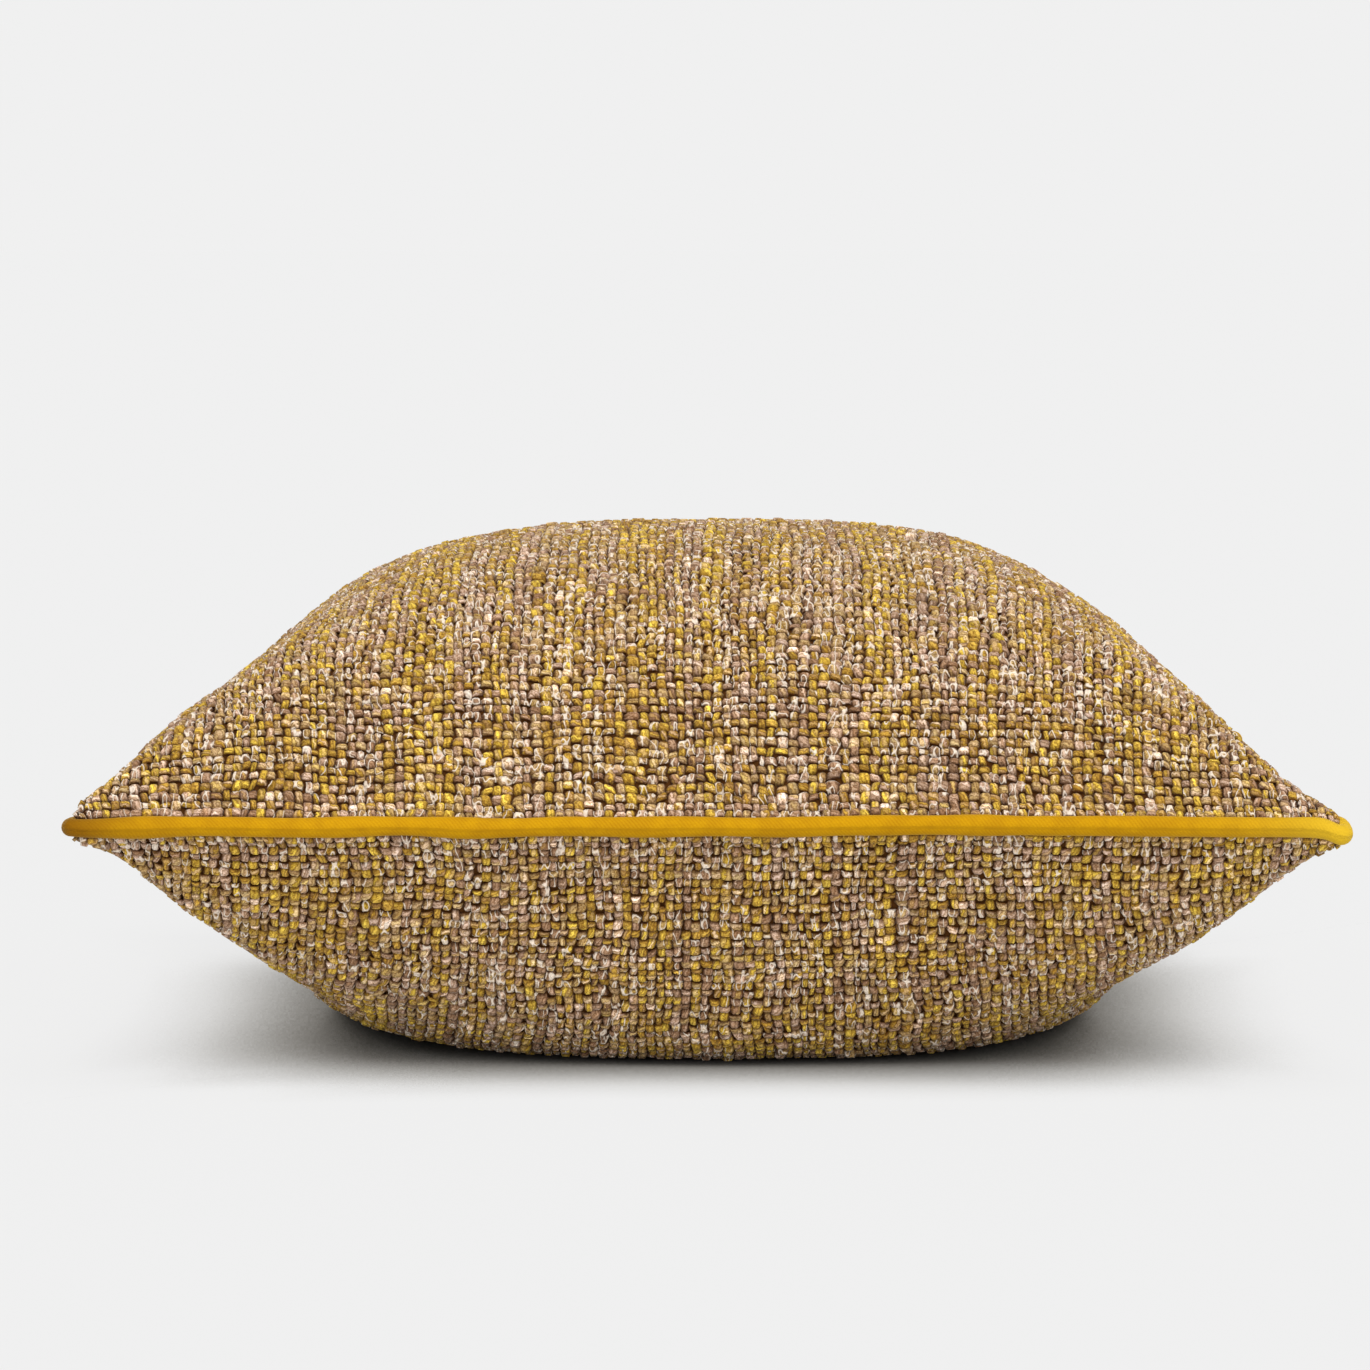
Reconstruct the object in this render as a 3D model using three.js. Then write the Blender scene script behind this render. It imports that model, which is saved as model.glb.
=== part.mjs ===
// A square filled cushion with contrast piping, lying on its back panel.
// Millimetres, +Z up. The origin is on the surface that it lies on, below the middle of the cushion.
//
// Both panels of the cover are followed in cloth coordinates s and t, which run from -1 to 1 along X and Y,
// from seam to seam. The filling lifts each panel off the seam as a dome with blunt ridges towards the
// corners. The cloth does not stretch, so where it climbs steeply it covers less ground, and the sides of
// the cushion are drawn in between its corners.
import * as THREE from "three";

// The cover in plan
const COVER_SIZE = 450; // seam to seam, measured along the flat cloth
const CORNER_REACH = 224.8; // from the middle to the cloth's edge at a corner
const SIDE_DRAWN_IN = 32; // how far the middle of a side lies inside that
const DRAW_POWER = 2.5; // a higher power keeps the draw to the ends of the side
const CORNER_BLUNT = 4; // how much the turned corner loses in X and in Y
const BLUNT_POWER = 36; // a higher power keeps that to the very corner
const LEAST_GROUND = 0.35; // what a length of cloth covers in plan where it climbs most steeply, as a share

// The seam, where the panels meet behind the piping
const SEAM_HEIGHT = 95.3; // at the corners, above the surface
const SEAM_SAG = 4.2; // how much lower it hangs in the middle of a side
const SAG_POWER = 4; // a higher power keeps the sag to the rim
const SEAM_WAVES = [
  { count: 7, height: 0.21, turn: 1.97 }, // waves round the whole cushion, mm, radians
  { count: 15, height: 0.16, turn: 1.64 },
  { count: 27, height: 0.21, turn: 5.07 },
  { count: 29, height: 0.21, turn: 4.31 },
];
const SEAM_SPOTS = [
  { s: 1, t: 1, height: -9.5, reach: 0.7 }, // the corner that hangs lowest
  { s: -1, t: 1, height: -2.5, reach: 0.5 },
  { s: 0.3, t: -1, height: 1.7, reach: 0.5 },
  { s: -0.6, t: -1, height: 0.4, reach: 0.5 },
  { s: 1, t: -1, height: -0.3, reach: 0.5 },
  { s: 1, t: -1, height: -2.9, reach: 0.03 }, // the corner that the piping dips round like an elbow
];

// The piping, seated in a groove that the plump cloth edges close over
const PIPING_RADIUS = 3.6;
const PIPING_GAP = 0.35; // between the piping and the groove
const PIPING_OUT = 0.6; // its centre outside the cloth edges
const PIPING_SIDES = 10;
const GROOVE_STEPS = 6;

// How each panel is filled: rise is the height in mm that its filling wants in the middle
const TOP = { side: 1, rise: 95.5, roundness: 2.33, fullness: 1.22 };
const BACK = { side: -1, rise: 152, roundness: 1.34, fullness: 1.1 };
const RIDGE_SOFTNESS = 0.27; // how blunt the ridges towards the corners are
const RESTING_TURN = 12; // mm of depth over which the back panel turns onto the surface

// Uneven filling: place in cloth coordinates, height in mm, and reach
TOP.spots = [
  { s: -0.95, t: -0.95, height: 1.2, reach: 0.12 },
  { s: -0.8, t: -0.8, height: 3, reach: 0.2 },
  { s: -0.8, t: 0.8, height: 0.9, reach: 0.25 },
  { s: 0.42, t: 0.15, height: 1.5, reach: 0.2 },
  { s: 0.6, t: 0.3, height: -2, reach: 0.2 },
  { s: 0.68, t: 0, height: -2, reach: 0.2 },
  { s: 0, t: 0.15, height: -0.8, reach: 0.3 },
];
BACK.spots = [
  { s: -0.93, t: -0.93, height: -2.3, reach: 0.12 },
  { s: -0.7, t: -0.7, height: -1.8, reach: 0.2 },
  { s: -0.49, t: -0.43, height: -6.4, reach: 0.24 },
  { s: 0.56, t: -0.47, height: -6.5, reach: 0.22 },
];
const SPOT_FADE = 0.03; // the spots fade out over this much cloth beside the seam

// The grid on each panel, an even number of steps so that one line runs through the middle
const STEPS = 40;
const SUM_STEPS = 5; // finer steps in a sum along the cloth, for each step of the grid
const CROWDING = 0.25; // how much closer the grid lines lie beside the seam

// The base: the grid steps from the middle over which the back panel is pressed flat, and its clearance beyond
const BASE_STEPS = 6;
const BASE_CLEAR = 0.3;

const LOOKS = {
  cushion_body: { color: 0xa08350, roughness: 0.95 },
  piping: { color: 0xc89108, roughness: 0.8 },
};

const HALF_COVER = COVER_SIZE / 2;
const EDGE_RISE = Math.sqrt((PIPING_RADIUS + PIPING_GAP) ** 2 - PIPING_OUT ** 2);
const LINES = Array.from({ length: STEPS + 1 }, (_, i) => clothLine((2 * i) / STEPS - 1));

function clothLine(u) {
  return (1 + CROWDING) * u - CROWDING * u ** 3;
}

// The lower of two rises, with a blunt ridge where they are alike
function bluntLower(a, b) {
  return (a + b - Math.sqrt((a - b) ** 2 + RIDGE_SOFTNESS * a * b)) / (2 - Math.sqrt(RIDGE_SOFTNESS));
}

// A depth that would go below the surface is held on it, with a rounded turn
function heldAbove(depth, limit) {
  const near = Math.max(1 - Math.abs(depth - limit) / RESTING_TURN, 0);
  return Math.min(depth, limit) - (near * near * RESTING_TURN) / 4;
}

function spotsAt(spots, s, t) {
  const far = (spot) => ((s - spot.s) ** 2 + (t - spot.t) ** 2) / spot.reach ** 2;
  return spots.reduce((sum, spot) => sum + spot.height * Math.exp(-far(spot)), 0);
}

function seamHeight(s, t) {
  const angle = Math.atan2(t, s);
  const rim = Math.max(Math.abs(s), Math.abs(t)) ** SAG_POWER;
  const sag = (1 - t * t) * Math.abs(s) ** SAG_POWER + (1 - s * s) * Math.abs(t) ** SAG_POWER;
  const wave = SEAM_WAVES.reduce((sum, w) => sum + w.height * Math.sin(w.count * angle + w.turn), 0);
  return SEAM_HEIGHT - SEAM_SAG * sag + (wave + spotsAt(SEAM_SPOTS, s, t)) * rim;
}

// How far a panel stands off the seam's level
function panelRise(panel, s, t) {
  const a = Math.max(1 - Math.abs(s) ** panel.roundness, 0);
  const b = Math.max(1 - Math.abs(t) ** panel.roundness, 0);
  const dome = a * b > 0 ? bluntLower(a, b) ** panel.fullness : 0;
  const fromSeam = Math.min((1 - Math.max(Math.abs(s), Math.abs(t))) / SPOT_FADE, 1);
  const wanted = EDGE_RISE + (panel.rise - EDGE_RISE) * dome + fromSeam * spotsAt(panel.spots, s, t);
  return panel === BACK ? heldAbove(wanted, seamHeight(s, t)) : wanted;
}

// The ground that the cloth covers from the middle to each grid line, as a share of the way to the seam
function groundShares(riseAt) {
  const covered = [0];
  for (let i = 0; i < STEPS; i += 1) {
    const step = (LINES[i + 1] - LINES[i]) / SUM_STEPS;
    const cloth = step * HALF_COVER;
    let ground = 0;
    for (let k = 0; k < SUM_STEPS; k += 1) {
      const climb = riseAt(LINES[i] + (k + 1) * step) - riseAt(LINES[i] + k * step);
      ground += Math.sqrt(Math.max(cloth ** 2 - climb ** 2, (LEAST_GROUND * cloth) ** 2));
    }
    covered.push(covered[i] + ground);
  }
  const middle = covered[STEPS / 2];
  return covered.map((ground, i) => (ground - middle) / (i < STEPS / 2 ? middle : covered[STEPS] - middle));
}

// Where the cloth's edge runs, as a distance from the middle line beside it
function sideReach(along) {
  return CORNER_REACH - SIDE_DRAWN_IN * (1 - Math.abs(along) ** DRAW_POWER);
}

// The back panel is flat on the surface inside a square and at that square's four corners, and just clear
// of it beyond, so the cushion stands on a broad base
function standing(i, j, height) {
  const [near, far] = [Math.abs(i - STEPS / 2), Math.abs(j - STEPS / 2)].sort((a, b) => a - b);
  const touches = far < BASE_STEPS || near === BASE_STEPS;
  return touches && far <= BASE_STEPS ? 0 : Math.max(height, BASE_CLEAR);
}

// The points of one panel, as rows along Y for each grid line in X
function panelPoints(panel) {
  const alongX = LINES.map((t) => groundShares((s) => panelRise(panel, s, t)));
  const alongY = LINES.map((s) => groundShares((t) => panelRise(panel, s, t)));
  return LINES.map((s, i) =>
    LINES.map((t, j) => {
      const blunt = CORNER_BLUNT * Math.abs(s * t) ** BLUNT_POWER;
      const x = sideReach(t) * alongX[j][i] - Math.sign(s) * blunt;
      const y = sideReach(s) * alongY[i][j] - Math.sign(t) * blunt;
      const z = seamHeight(s, t) + panel.side * panelRise(panel, s, t);
      return new THREE.Vector3(x, y, panel === BACK ? standing(i, j, z) : z);
    }),
  );
}

// The grid places round the rim, anticlockwise seen from above
function rimPlaces() {
  const counts = Array.from({ length: STEPS }, (_, i) => i);
  return [
    ...counts.map((i) => [i, 0]),
    ...counts.map((i) => [STEPS, i]),
    ...counts.map((i) => [STEPS - i, STEPS]),
    ...counts.map((i) => [0, STEPS - i]),
  ];
}

// For each rim place, the middle of the piping and the way out of the cushion there. The way out is
// longer than 1 where the rim turns, so that parallel runs keep their distance round a corner.
function pipingPath() {
  const edges = panelPoints(TOP);
  const rim = rimPlaces();
  const at = (k) => {
    const [i, j] = rim[(k + rim.length) % rim.length];
    return edges[i][j].clone().setZ(seamHeight(LINES[i], LINES[j]));
  };
  const outOf = (from, to) => new THREE.Vector3(to.y - from.y, from.x - to.x, 0).normalize();
  return rim.map((_, k) => {
    const before = outOf(at(k - 1), at(k));
    const after = outOf(at(k), at(k + 1));
    const out = before.clone().add(after).normalize();
    out.divideScalar(out.dot(before));
    return { centre: at(k).addScaledVector(out, PIPING_OUT), out };
  });
}

// A point beside the piping's middle, at an angle up from the way out
function besidePiping({ centre, out }, radius, angle) {
  const point = centre.clone().addScaledVector(out, radius * Math.cos(angle));
  return point.setZ(point.z + radius * Math.sin(angle));
}

// Collects points and four-sided faces, and turns them into a geometry
class Skin {
  points = [];
  triangles = [];

  add(point) {
    return this.points.push(point) - 1;
  }

  face(a, b, c, d) {
    this.triangles.push(a, b, c, a, c, d);
  }

  geometry() {
    const geometry = new THREE.BufferGeometry().setFromPoints(this.points);
    geometry.setIndex(this.triangles);
    geometry.computeVertexNormals();
    return geometry;
  }
}

function addPanel(skin, panel) {
  const index = panelPoints(panel).map((row) => row.map((point) => skin.add(point)));
  for (let i = 0; i < STEPS; i += 1) {
    for (let j = 0; j < STEPS; j += 1) {
      const around = [index[i][j], index[i + 1][j], index[i + 1][j + 1], index[i][j + 1]];
      const towardsCorner = (i < STEPS / 2) === (j < STEPS / 2);
      const [a, b, c, d] = towardsCorner ? around : [...around.slice(1), around[0]];
      skin.face(...(panel.side > 0 ? [a, b, c, d] : [a, d, c, b]));
    }
  }
  return rimPlaces().map(([i, j]) => index[i][j]);
}

// The filled cushion: both panels, joined all round by the groove that the piping sits in
function cushionBody() {
  const skin = new Skin();
  const topEdge = addPanel(skin, TOP);
  const backEdge = addPanel(skin, BACK);
  const edgeAngle = Math.atan2(EDGE_RISE, -PIPING_OUT);
  const swing = (2 * (Math.PI - edgeAngle)) / GROOVE_STEPS;
  const strips = pipingPath().map((place, k) => {
    const between = Array.from({ length: GROOVE_STEPS - 1 }, (_, n) => edgeAngle + (n + 1) * swing);
    const radius = PIPING_RADIUS + PIPING_GAP;
    return [topEdge[k], ...between.map((angle) => skin.add(besidePiping(place, radius, angle))), backEdge[k]];
  });
  strips.forEach((strip, k) => {
    const next = strips[(k + 1) % strips.length];
    for (let n = 0; n < GROOVE_STEPS; n += 1) {
      skin.face(strip[n], strip[n + 1], next[n + 1], next[n]);
    }
  });
  return skin.geometry();
}

// The piping: one round cord, covered in cloth, that runs all the way round the seam
function piping() {
  const skin = new Skin();
  const rings = pipingPath().map((place) =>
    Array.from({ length: PIPING_SIDES }, (_, n) => {
      const angle = (2 * Math.PI * (n + 0.5)) / PIPING_SIDES;
      return skin.add(besidePiping(place, PIPING_RADIUS, angle));
    }),
  );
  rings.forEach((ring, k) => {
    const next = rings[(k + 1) % rings.length];
    ring.forEach((corner, n) => {
      const up = (n + 1) % PIPING_SIDES;
      skin.face(corner, next[n], next[up], ring[up]);
    });
  });
  return skin.geometry();
}

function part(name, geometry) {
  const mesh = new THREE.Mesh(geometry, new THREE.MeshStandardMaterial({ ...LOOKS[name], metalness: 0 }));
  mesh.name = name;
  return mesh;
}

const cushion = new THREE.Group();
cushion.name = "square_cushion";
cushion.add(part("cushion_body", cushionBody()));
cushion.add(part("piping", piping()));

export default cushion;
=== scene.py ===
"""A square filled cushion with contrast piping, lying on its back panel.

The cover is a thick plain weave of slubby yarns. Every place where a yarn shows on the surface is a small
raised float of its own, laid on the same cloth coordinates that give the cushion its form, so rows and
columns of the weave follow the panels up to the seam. Below the floats lies a ground cloth painted dark
brown as the shade between them, and a covered cord runs round the seam. A short cloth simulation gives
both panels their creases and dimples.

Cloth coordinates s and t run from -1 to 1 across a panel, and the seam is where one of them is -1 or 1.
Sizes are in millimetres until a mesh is made.
"""
import math
from collections import namedtuple

import bpy
import numpy as np
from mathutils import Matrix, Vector


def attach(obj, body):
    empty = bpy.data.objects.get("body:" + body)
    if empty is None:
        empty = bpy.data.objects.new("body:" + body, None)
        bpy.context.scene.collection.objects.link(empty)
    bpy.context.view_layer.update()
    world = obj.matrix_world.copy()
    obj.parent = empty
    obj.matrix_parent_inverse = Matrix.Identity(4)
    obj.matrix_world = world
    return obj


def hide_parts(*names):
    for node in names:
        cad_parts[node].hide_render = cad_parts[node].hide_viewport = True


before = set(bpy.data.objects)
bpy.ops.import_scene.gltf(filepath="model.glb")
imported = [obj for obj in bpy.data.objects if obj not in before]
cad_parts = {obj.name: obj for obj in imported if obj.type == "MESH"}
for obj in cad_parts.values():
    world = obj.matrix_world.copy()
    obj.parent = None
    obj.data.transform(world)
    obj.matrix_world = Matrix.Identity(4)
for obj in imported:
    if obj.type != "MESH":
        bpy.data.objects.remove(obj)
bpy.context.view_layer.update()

MM_IN_METRE = 1000
JUST_INSIDE = 1e-6
SEED = 7

# The cover in plan, and the least ground that cloth covers where it climbs, as a share of its length
HALF_COVER = 225
CORNER_REACH = 224.8
SIDE_DRAWN_IN = 32
DRAW_POWER = 2.5
CORNER_BLUNT = 4
BLUNT_POWER = 36
LEAST_GROUND = 0.35

# The seam: its height at the corners, its sag along the sides, its waves and its uneven corners
SEAM_HEIGHT = 95.3
SEAM_SAG = 4.2
SAG_POWER = 4
Wave = namedtuple("Wave", "count height turn")
SEAM_WAVES = [Wave(7, 0.21, 1.97), Wave(15, 0.16, 1.64), Wave(27, 0.21, 5.07), Wave(29, 0.21, 4.31)]
Spot = namedtuple("Spot", "s t height reach")
SEAM_SPOTS = [
    Spot(1, 1, -9.5, 0.7),
    Spot(-1, 1, -2.5, 0.5),
    Spot(0.3, -1, 1.7, 0.5),
    Spot(-0.6, -1, 0.4, 0.5),
    Spot(1, -1, -0.3, 0.5),
    Spot(1, -1, -2.9, 0.03),
]

# The piping and the groove that it sits in
PIPING_RADIUS = 3.6
PIPING_GAP = 0.35
PIPING_OUT = 0.6
EDGE_RISE = math.sqrt((PIPING_RADIUS + PIPING_GAP) ** 2 - PIPING_OUT ** 2)
PIPING_SIDES = 20
STEPS_A_SIDE = 260
EVEN_STEPS = 0.3
CLOSING_STEP = 2

# What is uneven in the piping: many small waves, a thinner left front tip, the join on the front side, and
# how far the painted shade reaches from the left front corner and the painted light from the right one
UNEVEN_SPREAD = 0.006
UNEVEN_WAVES = range(20, 60)
ANY_TURN = 6.3
TIP_THINNER = 0.12
TIP_REACH = 9
JOIN_X = 120
JOIN_REACH = 5
JOIN_RISE = 0.25
FRONT_SIDE_BEFORE = -150
PIPING_PAINTED_SHADE_REACH = 22
PIPING_PAINTED_LIGHT_REACH = 30

# The two panels: how high the filling lifts each, and where it is uneven
Panel = namedtuple("Panel", "name side rise roundness fullness spots")
TOP = Panel("top", 1, 95.5, 2.33, 1.22, [
    Spot(-0.95, -0.95, 1.2, 0.12),
    Spot(-0.8, -0.8, 3, 0.2),
    Spot(-0.8, 0.8, 0.9, 0.25),
    Spot(0.42, 0.15, 1.5, 0.2),
    Spot(0.6, 0.3, -2, 0.2),
    Spot(0.68, 0, -2, 0.2),
    Spot(0, 0.15, -0.8, 0.3),
])
BACK = Panel("back", -1, 152, 1.34, 1.1, [
    Spot(-0.93, -0.93, -2.3, 0.12),
    Spot(-0.7, -0.7, -1.8, 0.2),
    Spot(-0.49, -0.43, -6.4, 0.24),
    Spot(0.56, -0.47, -6.5, 0.22),
])
RIDGE_SOFTNESS = 0.27
RESTING_TURN = 12
SPOT_FADE = 0.03
CLOTH_STEPS = 480
LEAST_HEIGHT = 0.1

# The simulation that puts creases and dimples into the panels
TRIAL_STEPS = 72
TRIAL_INSIDE = 1.5
TRIAL_SPARE = 0.03
TRIAL_FRAMES = 20
HELD_BELOW = 0.5
FILLING_PRESSURE = 4

# What is taken from it: all but the large form, up to this height, fading out at the seam, base and corners
LARGE_FORM_ROUNDS = 60
FINE_GRID_ROUNDS = 30
CREASE_SHARE = 0.45
CREASE_LIMIT = 1.6
SEAM_FADE = 0.06
BASE_CLEAR = 2
BASE_FADE = 10
CORNER_FADE_POWER = 4

# The weave. Widths, reaches and moves of the yarns are shares of their usual spacing.
YarnSet = namedtuple("YarnSet", "name count fatness lean leaning pale")
WARPS = YarnSet("warp", 132, 1.04, 0.45, 1.05, 2.6)
WEFTS = YarnSet("weft", 140, 0.95, 0.05, 0.35, 2.1)
WIDTH_SPREAD = 0.13
WIDTH_LIMITS = (0.7, 1.4)
ASKEW = 0.12
ASKEW_WAVES = 5
ASKEW_TURNS = 16
ASKEW_POWER = 12
SPARE_KNOTS = 3
FLOAT_SINK = 1.6
GROUND_SINK = 2.3
GROUND_STEPS = 120
GROUND_CROWDING = 0.2

# How one float differs from the next: slubs down the yarn, its reach towards the crossing yarns, how fat and
# high it is, how far it wanders and slants, and how the yarns bunch at the seam
SLUB = 0.16
SLUB_RUN = 3
SLUB_LIMITS = (0.72, 1.35)
REACH_RANGE = (0.66, 0.84)
FAT_RANGE = (0.88, 1.1)
CROWN = 0.9
CROWN_RANGE = (0.85, 1.15)
WANDER = 0.1
SLANT = 0.12
BUNCHED = 0.2
BUNCHED_REACH = 0.012
SEAM_CLEAR = 0.3

# A float is a patch of four points along by four across, from where the yarn dips to where it dips again
ALONG = np.array([-1, -0.42, 0.42, 1])
ACROSS = np.array([-1, -0.42, 0.42, 1])
DIP = np.array([-1.7, 0.2, 0.2, -1.7])
TAPER = np.array([0.62, 1, 1, 0.62])
EDGE_LEAN = 84
MIDDLE_LEAN = 27
ROUND_LEAN = np.radians([EDGE_LEAN, MIDDLE_LEAN, MIDDLE_LEAN, EDGE_LEAN])
ROUND = np.cos(ROUND_LEAN)
LEAN_OUT = np.sin(ROUND_LEAN) / math.sin(math.radians(EDGE_LEAN)) * np.sign(ACROSS)

# The camera, as far as the photograph gives it
IMAGE_SIZE = 1370
FOCAL_PIXELS = 5760
CAMERA_TARGET = (-9.26, 0, 127.07)
CAMERA_DISTANCE = 2225
CAMERA_ELEVATION = 4.594
CAMERA_AZIMUTH = 0.5

# The light: an even pale surround that is dimmer overhead, a soft key light from above and a wide fill from
# the front right. Strengths are what a surface that faces the light gets.
BACKGROUND = 0.871
OVERHEAD = 0.28
OVERHEAD_FROM = (0.25, 0.8)
SKY_ON_FLOOR = 0.48
SoftLight = namedtuple("SoftLight", "name toward strength spread")
KEY_LIGHT = SoftLight("key_light", (0.12, -0.45, 1), 0.69, 48)
FILL_LIGHT = SoftLight("fill_light", (0.12, -1, 0.25), 0.53, 60)

# The floor, in metres, and the painted shadow in its own light, from where the cushion is closest over it
# to where the floor is open
FLOOR_REACH = 60
FLOOR_OWN_LIGHT = 0.9
FLOOR_PAINTED_SHADOW = (0.13, 0.67)
FLOOR_PAINTED_SHADOW_REACH = 0.1
FLOOR_PAINTED_SHADOW_WARMTH = (1, 1.04, 1.12)
PAPER_SPREAD = 0.003


def srgb(red, green, blue):
    """A colour from its 0 to 255 values on screen, as linear numbers."""
    shares = [value / 255 for value in (red, green, blue)]
    linear = [c / 12.92 if c <= 0.04045 else ((c + 0.055) / 1.055) ** 2.4 for c in shares]
    return (*linear, 1.0)


def grey(value):
    return (value, value, value, 1)


# The yarns' colours. Main colours go from the least to the most yellow, and cream is for the palest places.
MUSTARD = srgb(194, 168, 69)
OCHRE = srgb(167, 136, 59)
SAND = srgb(176, 154, 113)
TAUPE = srgb(175, 152, 138)
BROWN = srgb(146, 118, 96)
CREAM = srgb(236, 216, 202)
MAIN_COLORS = (BROWN, TAUPE, SAND, OCHRE, MUSTARD, CREAM)
SECOND_COLORS = (CREAM, MUSTARD, OCHRE, TAUPE, BROWN, TAUPE)
YELLOW_STEPS = (-0.85, -0.2, 0.35, 0.9)
YELLOW_DRIFT = 0.5
YELLOW_RUN = 10
YELLOW_FLECKS = 0.25
PALE_BY_YARN = 0.5
BRIGHT_SPREAD = 0.12
BRIGHT_LIMITS = (0.7, 1.35)

# Which floats show a pale strand: fewer of the yellow ones, which are those with little blue
STRAND_CHANCE = 0.62
STRAND_DRIFT = 0.25
STRAND_RUN = 7
STRAND_BY_YARN = 0.2
STRAND_LESS_ON_YELLOW = 0.5
BLUE_OF_YELLOW = 0.09

# The yarn's surface: how many plies pass over a float, how tangled they are, what lightens them at random,
# the painted shade between plies, and the painted shade at a float's edge that runs to a painted highlight on
# its crown
PLIES_ACROSS = 1.25
PLIES_ALONG = 0.55
PLY_START = 7
PLY_TANGLE = 1.8
PLY_SEED = 913
SECOND_COLOR_SHARE = 0.4
FIBRE_LIGHT = (0.9, 0.1)
PLY_LIGHT = (0.6, 0.72)
PLY_PAINTED_SHADE = (0.65, 0.62)
YARN_WARMTH = (0.95, 1.2, 1.6)
FIBRE_RELIEF = 0.8
PAINTED_EDGE_SHADE = (0.3, 0.15, 0.04, 1)
PAINTED_CROWN_HIGHLIGHT = grey(1.8)
CROWN_FROM_EDGE = (1, 0.35)

# The pale strands: how they are drawn out, how wide they are, where they fade out and how much they cover
PALE_STRAND = srgb(240, 225, 207)
STRAND_STRETCH = (1, 0.45, 0.45)
STRAND_WIDTH = (0.065, 0.02)
STRAND_ENDS = (1, 0.75)
STRAND_COVER = 0.85

# The cloth's depth between the floats, painted dark brown as the shade that falls there
GAP_PAINTED_SHADE_DARK = srgb(58, 30, 6)
GAP_PAINTED_SHADE_LIGHT = srgb(90, 54, 20)

# The piping's surface: its dye, dark specks, a slanting twill in radians a millimetre, and its painted shade
# and light
DYE_DARK = srgb(169, 119, 0)
DYE_LIGHT = srgb(181, 131, 0)
DYE_RANGE = (0.35, 0.65)
SPECK = srgb(160, 106, 0)
SPECK_RANGE = (0.4, 0.75)
SPECK_COVER = 0.45
TWILL_SLANT = 0.8
TWILL_TURN = 4.4
TWILL_LIGHT = srgb(214, 174, 30)
TWILL_COVER = (0.09, 0.1)
TWILL_RELIEF = 0.3
PIPING_PAINTED_SHADE = srgb(118, 74, 2)
PIPING_PAINTED_LIGHT = srgb(204, 166, 36)
PIPING_SHEEN = srgb(255, 232, 150)


# Form

def spots_at(spots, s, t):
    """How far these spots raise the cloth at cloth coordinates, each as a soft round hill or hollow."""
    hills = [
        spot.height * np.exp(-((s - spot.s) ** 2 + (t - spot.t) ** 2) / spot.reach ** 2)
        for spot in spots
    ]
    return sum(hills)


def seam_height(s, t):
    """The seam's height over the surface, carried on inside the rim for both panels to stand on."""
    angle = np.arctan2(t, s)
    rim = np.maximum(np.abs(s), np.abs(t)) ** SAG_POWER
    sag = (1 - t * t) * np.abs(s) ** SAG_POWER + (1 - s * s) * np.abs(t) ** SAG_POWER
    wave = sum(w.height * np.sin(w.count * angle + w.turn) for w in SEAM_WAVES)
    return SEAM_HEIGHT - SEAM_SAG * sag + (wave + spots_at(SEAM_SPOTS, s, t)) * rim


def blunt_lower(a, b):
    """The lower of two rises, with a blunt ridge where they are alike."""
    between = np.sqrt((a - b) ** 2 + RIDGE_SOFTNESS * a * b)
    return np.maximum(a + b - between, 0) / (2 - math.sqrt(RIDGE_SOFTNESS))


def held_above(depth, limit):
    """A depth that would go below the surface is held on it, with a rounded turn."""
    near = np.maximum(1 - np.abs(depth - limit) / RESTING_TURN, 0)
    return np.minimum(depth, limit) - near * near * RESTING_TURN / 4


def panel_rise(panel, s, t):
    """How far a panel stands out from the seam's height, up for the top and down for the back."""
    a = np.maximum(1 - np.abs(s) ** panel.roundness, 0)
    b = np.maximum(1 - np.abs(t) ** panel.roundness, 0)
    dome = blunt_lower(a, b) ** panel.fullness
    from_seam = np.minimum((1 - np.maximum(np.abs(s), np.abs(t))) / SPOT_FADE, 1)
    wanted = EDGE_RISE + (panel.rise - EDGE_RISE) * dome + from_seam * spots_at(panel.spots, s, t)
    return held_above(wanted, seam_height(s, t)) if panel is BACK else wanted


def ground_shares(rises, lines):
    """The ground that cloth with these rises covers down each column, as a share of the way to the seam."""
    cloth = np.diff(lines)[:, None] * HALF_COVER
    climb = np.diff(rises, axis=0)
    ground = np.sqrt(np.maximum(cloth ** 2 - climb ** 2, (LEAST_GROUND * cloth) ** 2))
    covered = np.vstack([np.zeros(rises.shape[1]), np.cumsum(ground, axis=0)])
    middle = covered[len(lines) // 2]
    before = np.arange(len(lines))[:, None] < len(lines) // 2
    return np.where(before, (covered - middle) / middle, (covered - middle) / (covered[-1] - middle))


def side_reach(along):
    """How far out a side of the cover lies, drawn in between its corners."""
    return CORNER_REACH - SIDE_DRAWN_IN * (1 - np.abs(along) ** DRAW_POWER)


def corner_blunt(s, t):
    """How far the cover is pulled back both ways, which is only at its corners."""
    return CORNER_BLUNT * np.abs(s * t) ** BLUNT_POWER


def evened(grid, times):
    """A grid's values evened out with their four neighbours this many times, unchanged on its rim."""
    for _ in range(times):
        middle = grid[1:-1, 1:-1]
        around = grid[2:, 1:-1] + grid[:-2, 1:-1] + grid[1:-1, 2:] + grid[1:-1, :-2]
        grid = grid.copy()
        grid[1:-1, 1:-1] = middle / 2 + around / 8
    return grid


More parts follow.
